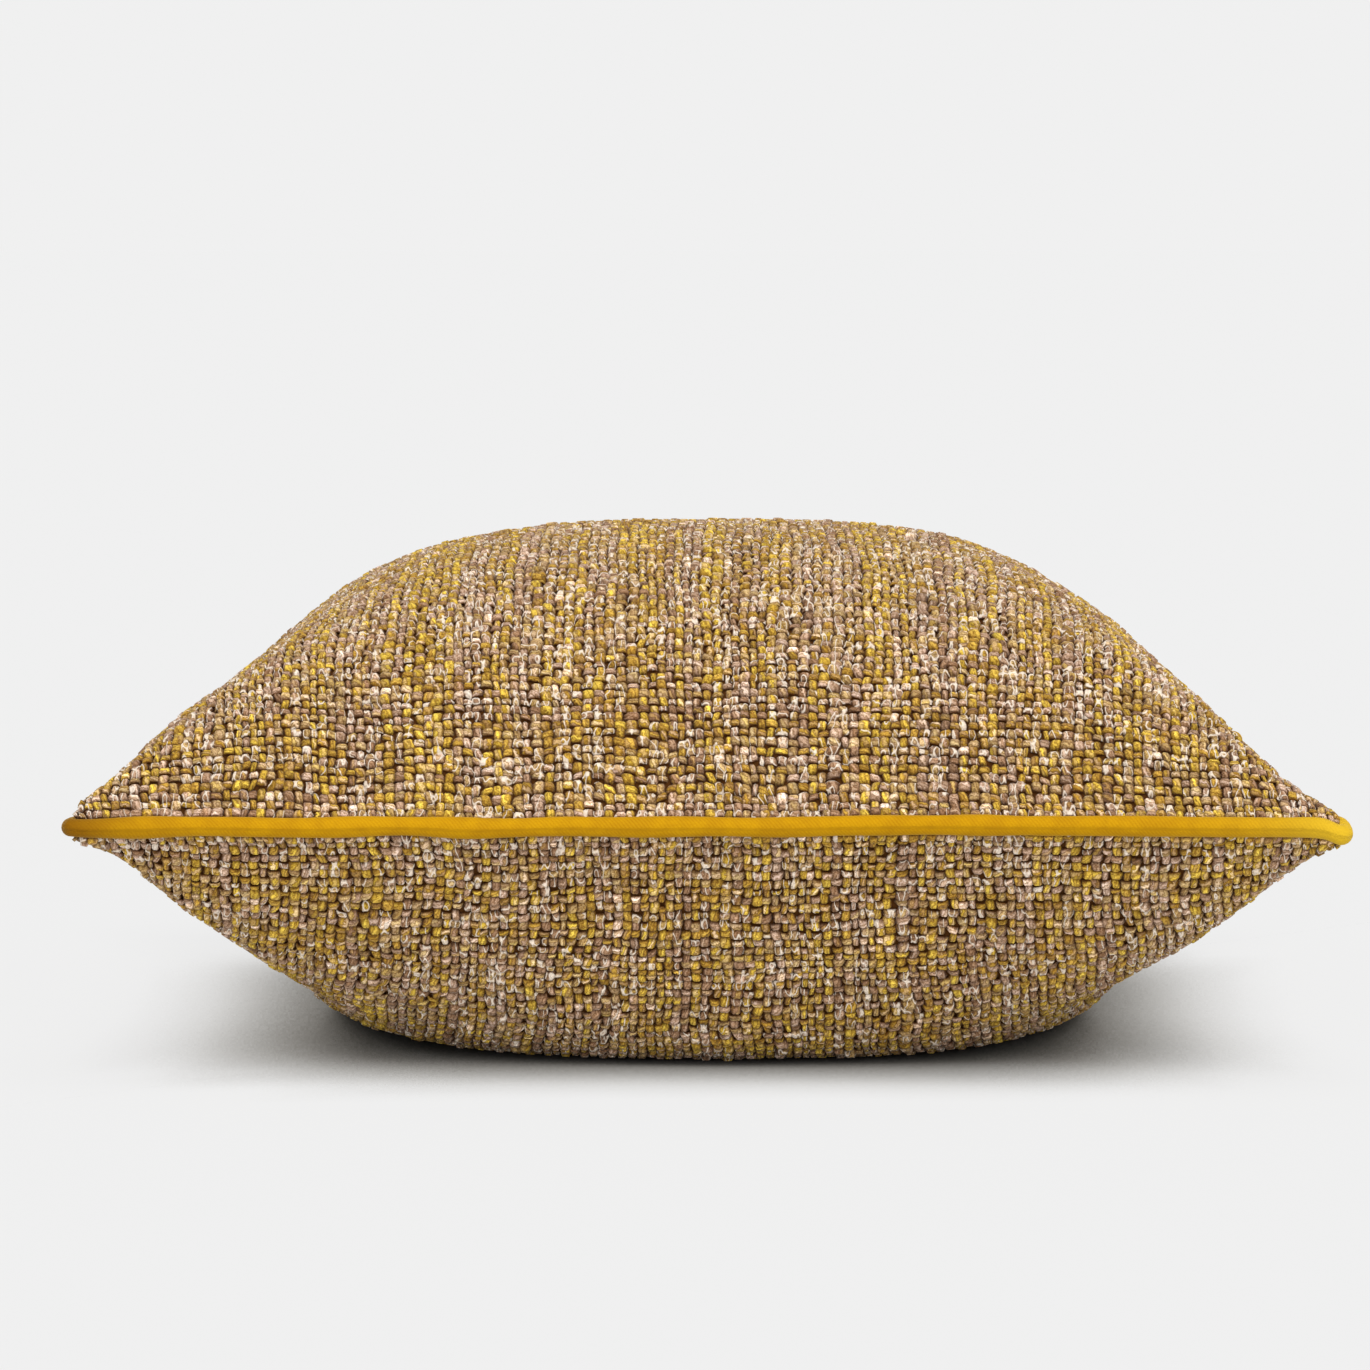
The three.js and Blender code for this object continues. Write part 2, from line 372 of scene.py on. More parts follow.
class Cloth:
    """One panel's surface as a fine grid, and places on it between the grid points."""

    def __init__(self, panel):
        self.lines = np.linspace(-1, 1, CLOTH_STEPS + 1)
        s, t = np.meshgrid(self.lines, self.lines, indexing="ij")
        rise = panel_rise(panel, s, t)
        blunt = corner_blunt(s, t)
        x = side_reach(t) * ground_shares(rise, self.lines) - np.sign(s) * blunt
        y = side_reach(s) * ground_shares(rise.T, self.lines).T - np.sign(t) * blunt
        z = np.maximum(seam_height(s, t) + panel.side * rise, 0)
        self.side = panel.side
        self.points = np.stack([x, y, z], axis=-1)
        self.find_normals()

    def find_normals(self):
        outward = np.cross(np.gradient(self.points, axis=0), np.gradient(self.points, axis=1)) * self.side
        self.normals = outward / np.linalg.norm(outward, axis=-1, keepdims=True)

    def crease(self, heights):
        """Moves the surface out by these heights, which are given on a coarser grid."""
        coarse = np.linspace(-1, 1, len(heights))
        wide = np.stack([np.interp(self.lines, coarse, row) for row in heights])
        fine = np.stack([np.interp(self.lines, coarse, column) for column in wide.T], axis=1)
        self.points += self.normals * evened(fine, FINE_GRID_ROUNDS)[..., None]
        self.points[..., 2] = np.maximum(self.points[..., 2], 0)
        self.find_normals()

    def between(self, grid, s, t):
        """A grid's values at cloth coordinates, weighted between the four points around each."""
        i, j = [np.clip((c + 1) / 2 * CLOTH_STEPS, 0, CLOTH_STEPS - JUST_INSIDE) for c in (s, t)]
        i0, j0 = i.astype(int), j.astype(int)
        fi, fj = (i - i0)[..., None], (j - j0)[..., None]
        near = grid[i0, j0] * (1 - fj) + grid[i0, j0 + 1] * fj
        far = grid[i0 + 1, j0] * (1 - fj) + grid[i0 + 1, j0 + 1] * fj
        return near * (1 - fi) + far * fi

    def raised(self, s, t, height):
        """Points at a height over the cloth, never below the surface that the cushion lies on."""
        points = self.between(self.points, s, t) + self.between(self.normals, s, t) * height[..., None]
        points[..., 2] = np.maximum(points[..., 2], LEAST_HEIGHT)
        return points


def rim_places():
    """Cloth coordinates round the rim, anticlockwise seen from above, closer together at the corners."""
    turn = np.linspace(0, 1, STEPS_A_SIDE, endpoint=False)
    side = np.sin((turn - 0.5) * math.pi) * (1 - EVEN_STEPS) + (2 * turn - 1) * EVEN_STEPS
    one = np.ones(STEPS_A_SIDE)
    s = np.concatenate([side, one, -side, -one])
    t = np.concatenate([-one, side, one, -side])
    return s, t


def rim_path():
    """The middle of the piping, the way out of the cushion there, and the length along the path."""
    s, t = rim_places()
    blunt = corner_blunt(s, t)
    x = np.where(np.abs(s) == 1, side_reach(t), CORNER_REACH * np.abs(s)) * np.sign(s)
    y = np.where(np.abs(t) == 1, side_reach(s), CORNER_REACH * np.abs(t)) * np.sign(t)
    edge = np.stack([x - np.sign(s) * blunt, y - np.sign(t) * blunt, seam_height(s, t)], axis=-1)
    along = np.roll(edge, -1, axis=0) - np.roll(edge, 1, axis=0)
    out = np.stack([along[:, 1], -along[:, 0], np.zeros(len(along))], axis=-1)
    out /= np.linalg.norm(out, axis=1, keepdims=True)
    steps = np.linalg.norm(np.diff(edge, axis=0), axis=1)
    return edge + out * PIPING_OUT, out, np.concatenate([[0], np.cumsum(steps)])


# Meshes

def mesh_object(name, points, faces, material, point_data=()):
    """A smooth mesh from points in millimetres, with extra numbers for each point."""
    mesh = bpy.data.meshes.new(name)
    mesh.vertices.add(len(points))
    mesh.vertices.foreach_set("co", (np.asarray(points) / MM_IN_METRE).astype(np.float32).ravel())
    mesh.loops.add(faces.size)
    mesh.loops.foreach_set("vertex_index", faces.astype(np.int32).ravel())
    mesh.polygons.add(len(faces))
    mesh.polygons.foreach_set("loop_start", np.arange(0, faces.size, faces.shape[1], dtype=np.int32))
    mesh.update(calc_edges=True)
    mesh.shade_smooth()
    for key, kind, values in point_data:
        layer = mesh.attributes.new(key, kind, "POINT")
        field = "color" if kind == "FLOAT_COLOR" else "vector"
        layer.data.foreach_set(field, values.astype(np.float32).ravel())
    mesh.materials.append(material)
    piece = bpy.data.objects.new(name, mesh)
    bpy.context.scene.collection.objects.link(piece)
    return piece


def grid_faces(rows, columns):
    """Quads between the neighbouring points of a grid."""
    i, j = np.meshgrid(np.arange(rows - 1), np.arange(columns - 1), indexing="ij")
    here = i * columns + j
    return np.stack([here, here + columns, here + columns + 1, here + 1], axis=-1).reshape(-1, 4)


def ring_faces(rings, sides):
    """Quads of a tube that runs round and meets its own start."""
    i, j = np.meshgrid(np.arange(rings), np.arange(sides), indexing="ij")
    ahead, around = (i + 1) % rings, (j + 1) % sides
    corners = [i * sides + j, ahead * sides + j, ahead * sides + around, i * sides + around]
    return np.stack(corners, axis=-1).reshape(-1, 4)


def cover_faces(steps):
    """The faces of a closed cover: the top panel's grid, the back panel's, and a strip between their rims."""
    size = (steps + 1) ** 2
    panel = grid_faces(steps + 1, steps + 1)
    index = np.arange(size).reshape(steps + 1, steps + 1)
    rim = np.concatenate([index[:-1, 0], index[-1, :-1], index[:0:-1, -1], index[0, :0:-1]])
    following = np.roll(rim, -1)
    strip = np.stack([rim, rim + size, following + size, following], axis=-1)
    return np.concatenate([panel, panel[:, ::-1] + size, strip])


# Creases

def run_cloth(cover, held):
    """Where a mesh's points come to rest, in millimetres, as cloth that its filling presses outwards."""
    group = cover.vertex_groups.new(name="held")
    group.add(held.tolist(), 1.0, "REPLACE")
    modifier = cover.modifiers.new("cloth", "CLOTH")
    modifier.collision_settings.use_collision = False
    settings = modifier.settings
    settings.quality = 6
    settings.mass = 0.3
    settings.bending_stiffness = 0.5
    settings.use_pressure = True
    settings.uniform_pressure_force = FILLING_PRESSURE
    settings.vertex_group_mass = "held"
    settings.shrink_min = -TRIAL_SPARE
    settings.effector_weights.gravity = 0
    scene = bpy.context.scene
    for number in range(1, TRIAL_FRAMES + 1):
        scene.frame_set(number)
    rested = cover.evaluated_get(bpy.context.evaluated_depsgraph_get()).to_mesh()
    points = np.empty(len(rested.vertices) * 3)
    rested.vertices.foreach_get("co", points)
    scene.frame_set(1)
    return points.reshape(-1, 3) * MM_IN_METRE


def settle(cloths):
    """Lets a coarse closed cover swell under its filling, held at the seam and on the surface below, and
    gives the small creases and dimples that come of it to both panels. Their large form stays."""
    s, t = np.meshgrid(*[np.linspace(-1, 1, TRIAL_STEPS + 1)] * 2, indexing="ij")
    homes = np.stack([cloth.between(cloth.points, s, t) for cloth in cloths])
    outward = np.stack([cloth.between(cloth.normals, s, t) for cloth in cloths])
    from_rim = 1 - np.maximum(np.abs(s), np.abs(t))
    free = (from_rim > JUST_INSIDE) & (homes[..., 2] > HELD_BELOW)
    start = homes - outward * (TRIAL_INSIDE * free)[..., None]
    cover = mesh_object("trial_cover", start.reshape(-1, 3), cover_faces(TRIAL_STEPS), None)
    rested = run_cloth(cover, np.flatnonzero(~free)).reshape(homes.shape)
    bpy.data.meshes.remove(cover.data)
    moved = np.sum((rested - homes) * outward, axis=-1)
    at_seam = np.minimum(from_rim / SEAM_FADE, 1)
    at_corner = 1 - np.abs(s * t) ** CORNER_FADE_POWER
    for cloth, heights, clear in zip(cloths, moved, homes[..., 2]):
        small = evened(heights - evened(heights, LARGE_FORM_ROUNDS), 1)
        at_base = np.clip((clear - BASE_CLEAR) / BASE_FADE, 0, 1)
        creases = small * CREASE_SHARE * (at_seam * at_base * at_corner)
        cloth.crease(CREASE_LIMIT * np.tanh(creases / CREASE_LIMIT))


# Weave

def yarn_lines(count, draw):
    """Where the middles of the yarns lie and how wide each is, both in cloth coordinates."""
    widths = np.clip(draw.normal(1, WIDTH_SPREAD, count), *WIDTH_LIMITS)
    edges = np.concatenate([[0], np.cumsum(widths)])
    edges = edges / edges[-1] * 2 - 1
    return (edges[1:] + edges[:-1]) / 2, np.diff(edges)


def slow_change(yarns, places, run, draw):
    """Smooth random numbers down each yarn that change over about this many places."""
    knots = places // run + SPARE_KNOTS
    values = draw.normal(0, 1, (yarns, knots))
    starts = draw.uniform(0, 1, yarns)
    at = np.arange(places) / run
    return np.stack([np.interp(at + start, np.arange(knots), row) for start, row in zip(starts, values)])


def yarn_colors(yarn_set, yarns, places, draw):
    """The main colour and the twisted-in colour of every place on every yarn."""
    lean = draw.normal(yarn_set.lean, yarn_set.leaning, yarns)[:, None]
    drift = YELLOW_DRIFT * slow_change(yarns, places, YELLOW_RUN, draw)
    yellow = lean + drift + YELLOW_FLECKS * draw.normal(0, 1, (yarns, places))
    light = PALE_BY_YARN * draw.normal(0, 1, yarns)[:, None] + draw.normal(0, 1, (yarns, places))
    choice = np.searchsorted(YELLOW_STEPS, yellow)
    choice = np.where(light > yarn_set.pale, MAIN_COLORS.index(CREAM), choice)
    main = np.array(MAIN_COLORS)[choice]
    second = np.array(SECOND_COLORS)[draw.integers(0, len(SECOND_COLORS), (yarns, places))]
    bright = draw.normal(1, BRIGHT_SPREAD, (yarns, places, 1))
    main[..., :3] *= np.clip(bright, *BRIGHT_LIMITS)
    return main, second


def strand_chances(main, draw):
    """How likely each place on each yarn is to show a pale strand, given the yarns' main colours."""
    yarns, places, _ = main.shape
    drift = STRAND_DRIFT * slow_change(yarns, places, STRAND_RUN, draw)
    chances = STRAND_CHANCE + drift + STRAND_BY_YARN * draw.normal(0, 1, (yarns, 1))
    return chances - STRAND_LESS_ON_YELLOW * (main[..., 2] < BLUE_OF_YELLOW)


def pulled_askew(s, t, waves):
    """Cloth coordinates moved a little, as in cloth cut and sewn by hand, and unmoved at the seam."""
    fade = ASKEW * 2 / WARPS.count * (1 - np.maximum(np.abs(s), np.abs(t)) ** ASKEW_POWER)
    moved = [sum(np.sin(a * s + b * t + turn) for a, b, turn in some) for some in waves]
    return s + fade * moved[0], t + fade * moved[1]


def float_shapes(yarn_set, own, others, yarn, place, draw):
    """Where each float's points lie across and along its yarn, and their heights over the cloth. A float is
    where one of the set's yarns passes over a place, which is the line of a crossing yarn."""
    lines, widths = own
    count = len(yarn)
    slub = yarn_set.fatness * (1 + SLUB * slow_change(len(lines), len(others), SLUB_RUN, draw))
    padded = np.concatenate([[2 * others[0] - others[1]], others, [2 * others[-1] - others[-2]]])
    here = padded[place + 1]
    back = (padded[place] - here) * draw.uniform(*REACH_RANGE, count)
    ahead = (padded[place + 2] - here) * draw.uniform(*REACH_RANGE, count)
    along = here[:, None] + np.where(ALONG < 0, -ALONG * back[:, None], ALONG * ahead[:, None])
    to_seam = 1 - np.maximum(np.abs(lines[yarn]), np.abs(here))
    at_seam = 1 + BUNCHED * np.exp(-to_seam / BUNCHED_REACH)
    fat = np.clip(slub[yarn, place], *SLUB_LIMITS) * at_seam * draw.uniform(*FAT_RANGE, count)
    half = widths[yarn] / 2 * fat
    wander = widths[yarn] * draw.normal(0, WANDER, count)
    slant = widths[yarn] * draw.normal(0, SLANT, count)
    middle = (lines[yarn] + wander)[:, None] + slant[:, None] * ALONG
    across = middle[:, :, None] + (half[:, None] * TAPER)[:, :, None] * LEAN_OUT
    along = np.broadcast_to(along[:, :, None], across.shape)
    crown = CROWN * half * HALF_COVER * draw.uniform(*CROWN_RANGE, count)
    height = DIP[None, :, None] + (crown[:, None] * TAPER)[:, :, None] * ROUND - FLOAT_SINK
    return across, along, height


def add_floats(name, cloth, yarn_set, own, crossing, over, waves, material, draw):
    """The raised floats of one set of yarns. own and crossing are the lines of both sets, and over says
    where this set is on top."""
    lines, _ = own
    others, _ = crossing
    main, second = yarn_colors(yarn_set, len(lines), len(others), draw)
    yarn, place = np.nonzero(over)
    count = len(yarn)
    across, along, height = float_shapes(yarn_set, own, others, yarn, place, draw)
    s, t = (across, along) if yarn_set is WARPS else (along, across)
    s, t = pulled_askew(s, t, waves)
    limit = 1 - SEAM_CLEAR / HALF_COVER
    points = cloth.raised(np.clip(s, -limit, limit), np.clip(t, -limit, limit), height)
    size = len(ALONG) * len(ACROSS)
    patch = grid_faces(len(ALONG), len(ACROSS))
    faces = (patch[None] + size * np.arange(count)[:, None, None]).reshape(-1, 4)
    strands = strand_chances(main, draw)
    chance = draw.uniform(0, 1, count)
    chance += draw.uniform(0, 1, count) < strands[yarn, place]
    on_float = np.broadcast_arrays(ALONG[None, :, None], ACROSS[None, None, :], chance[:, None, None])
    each = np.ones((1, size, 1))
    data = [
        ("main_color", "FLOAT_COLOR", main[yarn, place][:, None] * each),
        ("second_color", "FLOAT_COLOR", second[yarn, place][:, None] * each),
        ("on_float", "FLOAT_VECTOR", np.stack(on_float, axis=-1)),
    ]
    return mesh_object(name, points.reshape(-1, 3), faces, material, data)


def add_weave(panel, cloth, material, draw):
    """A panel's warp floats and weft floats, which take turns on top as in any plain weave."""
    lines = [yarn_lines(yarn_set.count, draw) for yarn_set in (WARPS, WEFTS)]
    warp, weft = np.meshgrid(np.arange(WARPS.count), np.arange(WEFTS.count), indexing="ij")
    warp_over = (warp + weft) % 2 == 0
    waves = [
        [(*draw.normal(0, ASKEW_TURNS, 2), draw.uniform(0, 2 * math.pi)) for _ in range(ASKEW_WAVES)]
        for _ in range(2)
    ]
    return [
        add_floats(f"{panel.name}_{own.name}_floats", cloth, own, *pair, over, waves, material, draw)
        for own, pair, over in ((WARPS, lines, warp_over), (WEFTS, lines[::-1], ~warp_over.T))
    ]


def add_ground_cloth(cloths, material):
    """The closed body below the floats: both panels, and the groove between them behind the piping."""
    u = np.linspace(-1, 1, GROUND_STEPS + 1)
    lines = (1 + GROUND_CROWDING) * u - GROUND_CROWDING * u ** 3
    s, t = np.meshgrid(lines, lines, indexing="ij")
    sink = np.full(s.shape, -GROUND_SINK)
    points = np.concatenate([cloth.raised(s, t, sink).reshape(-1, 3) for cloth in cloths])
    return mesh_object("ground_cloth", points, cover_faces(GROUND_STEPS), material)


def from_front_corner(points, side):
    """How far points are, seen from above, from the left front corner (-1) or the right one (1)."""
    return np.hypot(points[:, 0] - side * CORNER_REACH, points[:, 1] + CORNER_REACH)


def add_piping(material, draw):
    """The covered cord round the seam, a little uneven, with the lump where its ends are joined."""
    centre, out, length = rim_path()
    turn = 2 * math.pi * length / (length[-1] + CLOSING_STEP)
    waves = [
        draw.normal(0, UNEVEN_SPREAD) * np.sin(count * turn + draw.uniform(0, ANY_TURN))
        for count in UNEVEN_WAVES
    ]
    on_front = centre[:, 1] < FRONT_SIDE_BEFORE
    join = np.exp(-(((centre[:, 0] - JOIN_X) / JOIN_REACH) ** 2)) * on_front
    from_left = from_front_corner(centre, -1)
    from_right = from_front_corner(centre, 1)
    thinner = TIP_THINNER * np.exp(-from_left / TIP_REACH)
    radius = PIPING_RADIUS * (1 + sum(waves) - thinner) + JOIN_RISE * join
    # Painted shade near the left front corner, below 0, and painted light near the right one, above 0
    painted_light_and_shade = np.exp(-from_right / PIPING_PAINTED_LIGHT_REACH) - np.exp(-from_left / PIPING_PAINTED_SHADE_REACH)
    angle = np.linspace(0, 2 * math.pi, PIPING_SIDES, endpoint=False)
    side = np.cos(angle)[None, :, None] * out[:, None, :]
    up = np.sin(angle)[None, :, None] * np.array([0, 0, 1])
    points = centre[:, None, :] + radius[:, None, None] * (side + up)
    place = np.broadcast_arrays(length[:, None], angle[None, :] * PIPING_RADIUS, painted_light_and_shade[:, None])
    data = [("on_piping", "FLOAT_VECTOR", np.stack(place, axis=-1))]
    faces = ring_faces(len(centre), PIPING_SIDES)
    return mesh_object("piping_cord", points.reshape(-1, 3), faces, material, data)


# Materials

def add_node(tree, kind, inputs=(), **settings):
    """A node with its settings, and its inputs as numbers, colours or links from other nodes' outputs."""
    made = tree.nodes.new(kind)
    for key, value in settings.items():
        setattr(made, key, value)
    for key, value in dict(inputs).items():
        if isinstance(value, bpy.types.NodeSocket):
            tree.links.new(value, made.inputs[key])
        else:
            made.inputs[key].default_value = value
    return made


def calculate(tree, operation, *values):
    return add_node(tree, "ShaderNodeMath", enumerate(values), operation=operation).outputs[0]


def mix_colors(tree, share, first, second, how="MIX"):
    """The second colour over the first. A Mix node has its colours at inputs 6 and 7 and output 2."""
    inputs = {0: share, 6: first, 7: second}
    return add_node(tree, "ShaderNodeMix", inputs, data_type="RGBA", blend_type=how).outputs[2]


def ramp(tree, value, low, high):
    """A value made to run smoothly from 0 at low to 1 at high."""
    inputs = {"Value": value, "From Min": low, "From Max": high}
    return add_node(tree, "ShaderNodeMapRange", inputs, interpolation_type="SMOOTHSTEP").outputs[0]


def warmed(tree, value, powers):
    """A shade whose red, green and blue are these powers of a value, so that it is warmer where darker."""
    parts = [calculate(tree, "POWER", value, power) for power in powers]
    return add_node(tree, "ShaderNodeCombineColor", enumerate(parts)).outputs[0]


def object_place(tree):
    return add_node(tree, "ShaderNodeTexCoord").outputs["Object"]


def from_mesh(tree, name, output):
    """Numbers that a mesh has for each of its points."""
    return add_node(tree, "ShaderNodeAttribute", attribute_name=name).outputs[output]


def noise(tree, where, scale, detail, roughness=0.5):
    """Smooth random variation, with as many changes in a metre as its scale says."""
    inputs = {"Vector": where, "Scale": scale, "Detail": detail, "Roughness": roughness}
    return add_node(tree, "ShaderNodeTexNoise", inputs).outputs[0]


def cloth_material(name, roughness, sheen):
    """A new material and its tree, with a cloth-like shader whose colour and normal are still to be set."""
    material = bpy.data.materials.new(name)
    material.use_nodes = True
    tree = material.node_tree
    shader = tree.nodes["Principled BSDF"]
    shader.inputs["Roughness"].default_value = roughness
    shader.inputs["Specular IOR Level"].default_value = 0.1
    shader.inputs["Sheen Weight"].default_value = sheen
    shader.inputs["Sheen Roughness"].default_value = 0.5
    return material, tree, shader


def dress(tree, shader, color, relief, strength, distance):
    """Gives a shader its colour, and a bump from this relief that is a distance in metres deep."""
    tree.links.new(color, shader.inputs["Base Color"])
    bump = add_node(tree, "ShaderNodeBump", {"Height": relief, "Strength": strength, "Distance": distance})
    tree.links.new(bump.outputs[0], shader.inputs["Normal"])


def yarn_material():
    """Plies in two colours, pale strands on some floats, short fibres, painted shade at ply and float edges,
    crown highlights.
    """
    material, tree, shader = cloth_material("slubby_yarn", 0.85, 0.06)
    where = object_place(tree)
    on_float = from_mesh(tree, "on_float", "Vector")
    along, across, chance = add_node(tree, "ShaderNodeSeparateXYZ", {0: on_float}).outputs
    tangle = noise(tree, where, scale=800, detail=1)
    plies = calculate(tree, "MULTIPLY", across, PLIES_ACROSS)
    plies = calculate(tree, "MULTIPLY_ADD", along, PLIES_ALONG, plies)
    plies = calculate(tree, "MULTIPLY_ADD", chance, PLY_START, plies)
    plies = calculate(tree, "MULTIPLY_ADD", tangle, PLY_TANGLE, plies)
    ply = calculate(tree, "FLOOR", plies)
    in_ply = calculate(tree, "SUBTRACT", plies, ply)
    round_ply = calculate(tree, "SINE", calculate(tree, "MULTIPLY", in_ply, math.pi))
    odd = calculate(tree, "PINGPONG", ply, 1)
    second_share = calculate(tree, "MULTIPLY", odd, SECOND_COLOR_SHARE)
    main = from_mesh(tree, "main_color", "Color")
    second = from_mesh(tree, "second_color", "Color")
    color = mix_colors(tree, second_share, main, second)

    ply_number = calculate(tree, "MULTIPLY_ADD", chance, PLY_SEED, ply)
    any_light = add_node(tree, "ShaderNodeTexWhiteNoise", {"W": ply_number}, noise_dimensions="1D").outputs[0]
    fibre = noise(tree, where, scale=2300, detail=2, roughness=0.6)
    tone_with_painted_ply_shade = calculate(tree, "MULTIPLY_ADD", fibre, *FIBRE_LIGHT)
    # Random lightness for each ply, then painted shade between the plies with a painted highlight along the
    # middle of each
    for what, factors in ((any_light, PLY_LIGHT), (round_ply, PLY_PAINTED_SHADE)):
        tone_with_painted_ply_shade = calculate(tree, "MULTIPLY", tone_with_painted_ply_shade, calculate(tree, "MULTIPLY_ADD", what, *factors))
    color = mix_colors(tree, 1, color, warmed(tree, tone_with_painted_ply_shade, YARN_WARMTH), "MULTIPLY")
    # Painted shade at each float's edge, running to a painted highlight on its crown
    inside = calculate(tree, "MAXIMUM", *[calculate(tree, "ABSOLUTE", part) for part in (across, along)])
    depth = mix_colors(tree, ramp(tree, inside, *CROWN_FROM_EDGE), PAINTED_EDGE_SHADE, PAINTED_CROWN_HIGHLIGHT)
    color = mix_colors(tree, 1, color, depth, "MULTIPLY")

    drawn_out = add_node(tree, "ShaderNodeMapping", {"Vector": where, "Scale": STRAND_STRETCH}).outputs[0]
    curls = noise(tree, drawn_out, scale=430, detail=0)
    from_strand = calculate(tree, "ABSOLUTE", calculate(tree, "SUBTRACT", curls, 0.5))
    has_strand = calculate(tree, "GREATER_THAN", chance, 1)
    strand = calculate(tree, "MULTIPLY", ramp(tree, from_strand, *STRAND_WIDTH), has_strand)
    strand = calculate(tree, "MULTIPLY", strand, ramp(tree, inside, *STRAND_ENDS))
    color = mix_colors(tree, calculate(tree, "MULTIPLY", strand, STRAND_COVER), color, PALE_STRAND)

    relief = calculate(tree, "MULTIPLY_ADD", fibre, FIBRE_RELIEF, round_ply)
    relief = calculate(tree, "ADD", relief, strand)
    dress(tree, shader, color, relief, strength=0.8, distance=0.0004)
    return material


def ground_material():
    """The depth of the cloth between its floats, painted dark brown as the shade that falls there."""
    material, tree, shader = cloth_material("painted_shade_between_floats", 0.95, 0)
    threads = noise(tree, object_place(tree), scale=700, detail=2)
    color = mix_colors(tree, threads, GAP_PAINTED_SHADE_DARK, GAP_PAINTED_SHADE_LIGHT)
    dress(tree, shader, color, threads, strength=0.5, distance=0.0005)
    return material


def piping_material():
    """Smooth felted cotton with a faint slanting twill, painted shade at the left front corner and painted
    light at the right.
    """
    material, tree, shader = cloth_material("piping_cloth", 0.85, 0.28)
    shader.inputs["Sheen Tint"].default_value = PIPING_SHEEN
    shader.inputs["Sheen Roughness"].default_value = 0.35
    shader.inputs["Specular IOR Level"].default_value = 0.08
    where = object_place(tree)
    on_piping = from_mesh(tree, "on_piping", "Vector")
    along, around, painted_light_and_shade = add_node(tree, "ShaderNodeSeparateXYZ", {0: on_piping}).outputs
    slant = calculate(tree, "MULTIPLY_ADD", around, TWILL_SLANT, along)
    twill = calculate(tree, "SINE", calculate(tree, "MULTIPLY", slant, TWILL_TURN))
    felt = noise(tree, where, scale=2200, detail=3)
    dye = noise(tree, where, scale=160, detail=2)
    specks = calculate(tree, "MULTIPLY", ramp(tree, felt, *SPECK_RANGE), SPECK_COVER)
    color = mix_colors(tree, ramp(tree, dye, *DYE_RANGE), DYE_DARK, DYE_LIGHT)
    color = mix_colors(tree, specks, color, SPECK)
    color = mix_colors(tree, calculate(tree, "MULTIPLY_ADD", twill, *TWILL_COVER), color, TWILL_LIGHT)
    # Painted shade towards the left front corner and painted light towards the right one
    color = mix_colors(tree, ramp(tree, painted_light_and_shade, 0, -1), color, PIPING_PAINTED_SHADE)
    color = mix_colors(tree, ramp(tree, painted_light_and_shade, 0, 1), color, PIPING_PAINTED_LIGHT)
    relief = calculate(tree, "MULTIPLY_ADD", twill, TWILL_RELIEF, felt)
    dress(tree, shader, color, relief, strength=0.5, distance=0.0002)
    return material


def light_on_floor(light):
    return light.strength * Vector(light.toward).normalized().z


def floor_material():
    """Pale paper that mostly glows as light as the background, with a painted warm shadow where the cushion
    is close.
    """
    material, tree, shader = cloth_material("pale_floor", 1, 0)
    shader.inputs["Specular IOR Level"].default_value = 0
    lit = SKY_ON_FLOOR + sum(light_on_floor(light) for light in (KEY_LIGHT, FILL_LIGHT))
    pale = BACKGROUND / lit * (1 - FLOOR_OWN_LIGHT)
    paper = noise(tree, object_place(tree), scale=40, detail=2)
    color = mix_colors(tree, paper, grey(pale * (1 - PAPER_SPREAD)), grey(pale * (1 + PAPER_SPREAD)))
    tree.links.new(color, shader.inputs["Base Color"])
    # The glow is darkened where the cushion is close over the floor: a painted shadow, warmer where darker
    inputs = {"Distance": FLOOR_PAINTED_SHADOW_REACH}
    openness = add_node(tree, "ShaderNodeAmbientOcclusion", inputs, samples=8).outputs["AO"]
    shade = warmed(tree, ramp(tree, openness, *FLOOR_PAINTED_SHADOW), FLOOR_PAINTED_SHADOW_WARMTH)
    tree.links.new(shade, shader.inputs["Emission Color"])
    shader.inputs["Emission Strength"].default_value = BACKGROUND * FLOOR_OWN_LIGHT
    return material


# Stage

def add_floor():
    mesh = bpy.data.meshes.new("floor")
    corners = [(x * FLOOR_REACH, y * FLOOR_REACH, 0) for x, y in ((-1, -1), (1, -1), (1, 1), (-1, 1))]
    mesh.from_pydata(corners, [], [(0, 1, 2, 3)])
    mesh.materials.append(floor_material())
    floor = bpy.data.objects.new("floor", mesh)
    bpy.context.scene.collection.objects.link(floor)


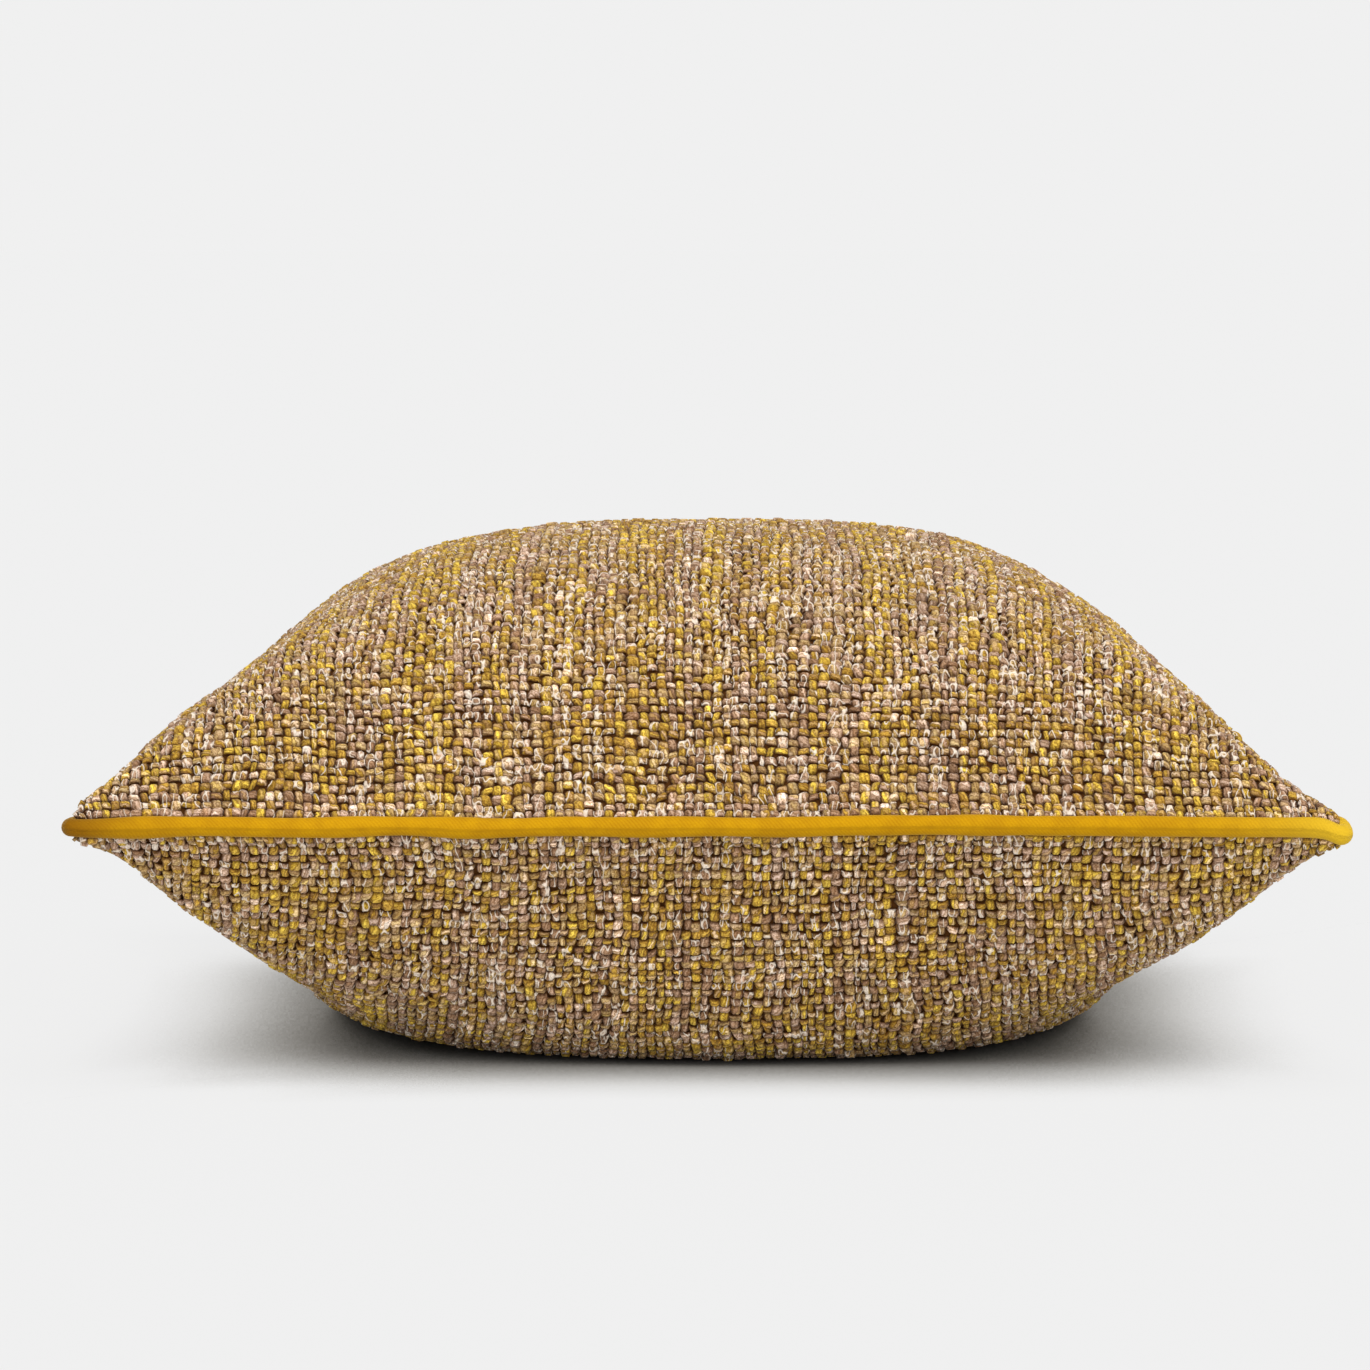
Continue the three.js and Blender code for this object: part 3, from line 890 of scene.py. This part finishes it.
def add_sky():
    """Even light near the horizon, which is what shows behind the cushion, and less of it overhead."""
    world = bpy.data.worlds.new("studio")
    world.use_nodes = True
    tree = world.node_tree
    way = add_node(tree, "ShaderNodeTexCoord").outputs["Generated"]
    up = add_node(tree, "ShaderNodeSeparateXYZ", {0: way}).outputs[2]
    color = mix_colors(tree, ramp(tree, up, *OVERHEAD_FROM), grey(BACKGROUND), grey(OVERHEAD))
    tree.links.new(color, tree.nodes["Background"].inputs[0])
    bpy.context.scene.world = world


def add_soft_light(soft_light):
    toward = Vector(soft_light.toward).normalized()
    light = bpy.data.lights.new(soft_light.name, "SUN")
    light.angle = math.radians(soft_light.spread)
    light.energy = math.pi * soft_light.strength
    lamp = bpy.data.objects.new(soft_light.name, light)
    lamp.rotation_euler = toward.to_track_quat("Z", "Y").to_euler()
    bpy.context.scene.collection.objects.link(lamp)


def add_studio():
    add_floor()
    add_sky()
    add_soft_light(KEY_LIGHT)
    add_soft_light(FILL_LIGHT)
    bpy.context.scene.view_settings.view_transform = "Standard"


def add_camera():
    """A camera that looks at its target from the photograph's distance, elevation and azimuth."""
    azimuth, elevation = math.radians(CAMERA_AZIMUTH), math.radians(CAMERA_ELEVATION)
    back = Vector((
        math.sin(azimuth) * math.cos(elevation),
        -math.cos(azimuth) * math.cos(elevation),
        math.sin(elevation),
    ))
    data = bpy.data.cameras.new("camera")
    data.sensor_width = 36
    data.lens = FOCAL_PIXELS / IMAGE_SIZE * data.sensor_width
    data.clip_end = 300
    camera = bpy.data.objects.new("camera", data)
    camera.location = (Vector(CAMERA_TARGET) + back * CAMERA_DISTANCE) / MM_IN_METRE
    camera.rotation_euler = back.to_track_quat("Z", "Y").to_euler()
    bpy.context.scene.collection.objects.link(camera)
    bpy.context.scene.camera = camera


def main():
    add_studio()
    add_camera()
    draw = np.random.default_rng(SEED)
    cloths = [Cloth(TOP), Cloth(BACK)]
    settle(cloths)
    yarn = yarn_material()
    ground = add_ground_cloth(cloths, ground_material())
    top_weave, back_weave = [add_weave(*pair, yarn, draw) for pair in zip((TOP, BACK), cloths)]
    floats = top_weave + back_weave
    piping = add_piping(piping_material(), draw)

    for piece in (ground, *floats):
        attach(piece, "root")
    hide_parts("cushion_body")
    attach(piping, "root")
    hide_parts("piping")

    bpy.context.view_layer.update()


main()
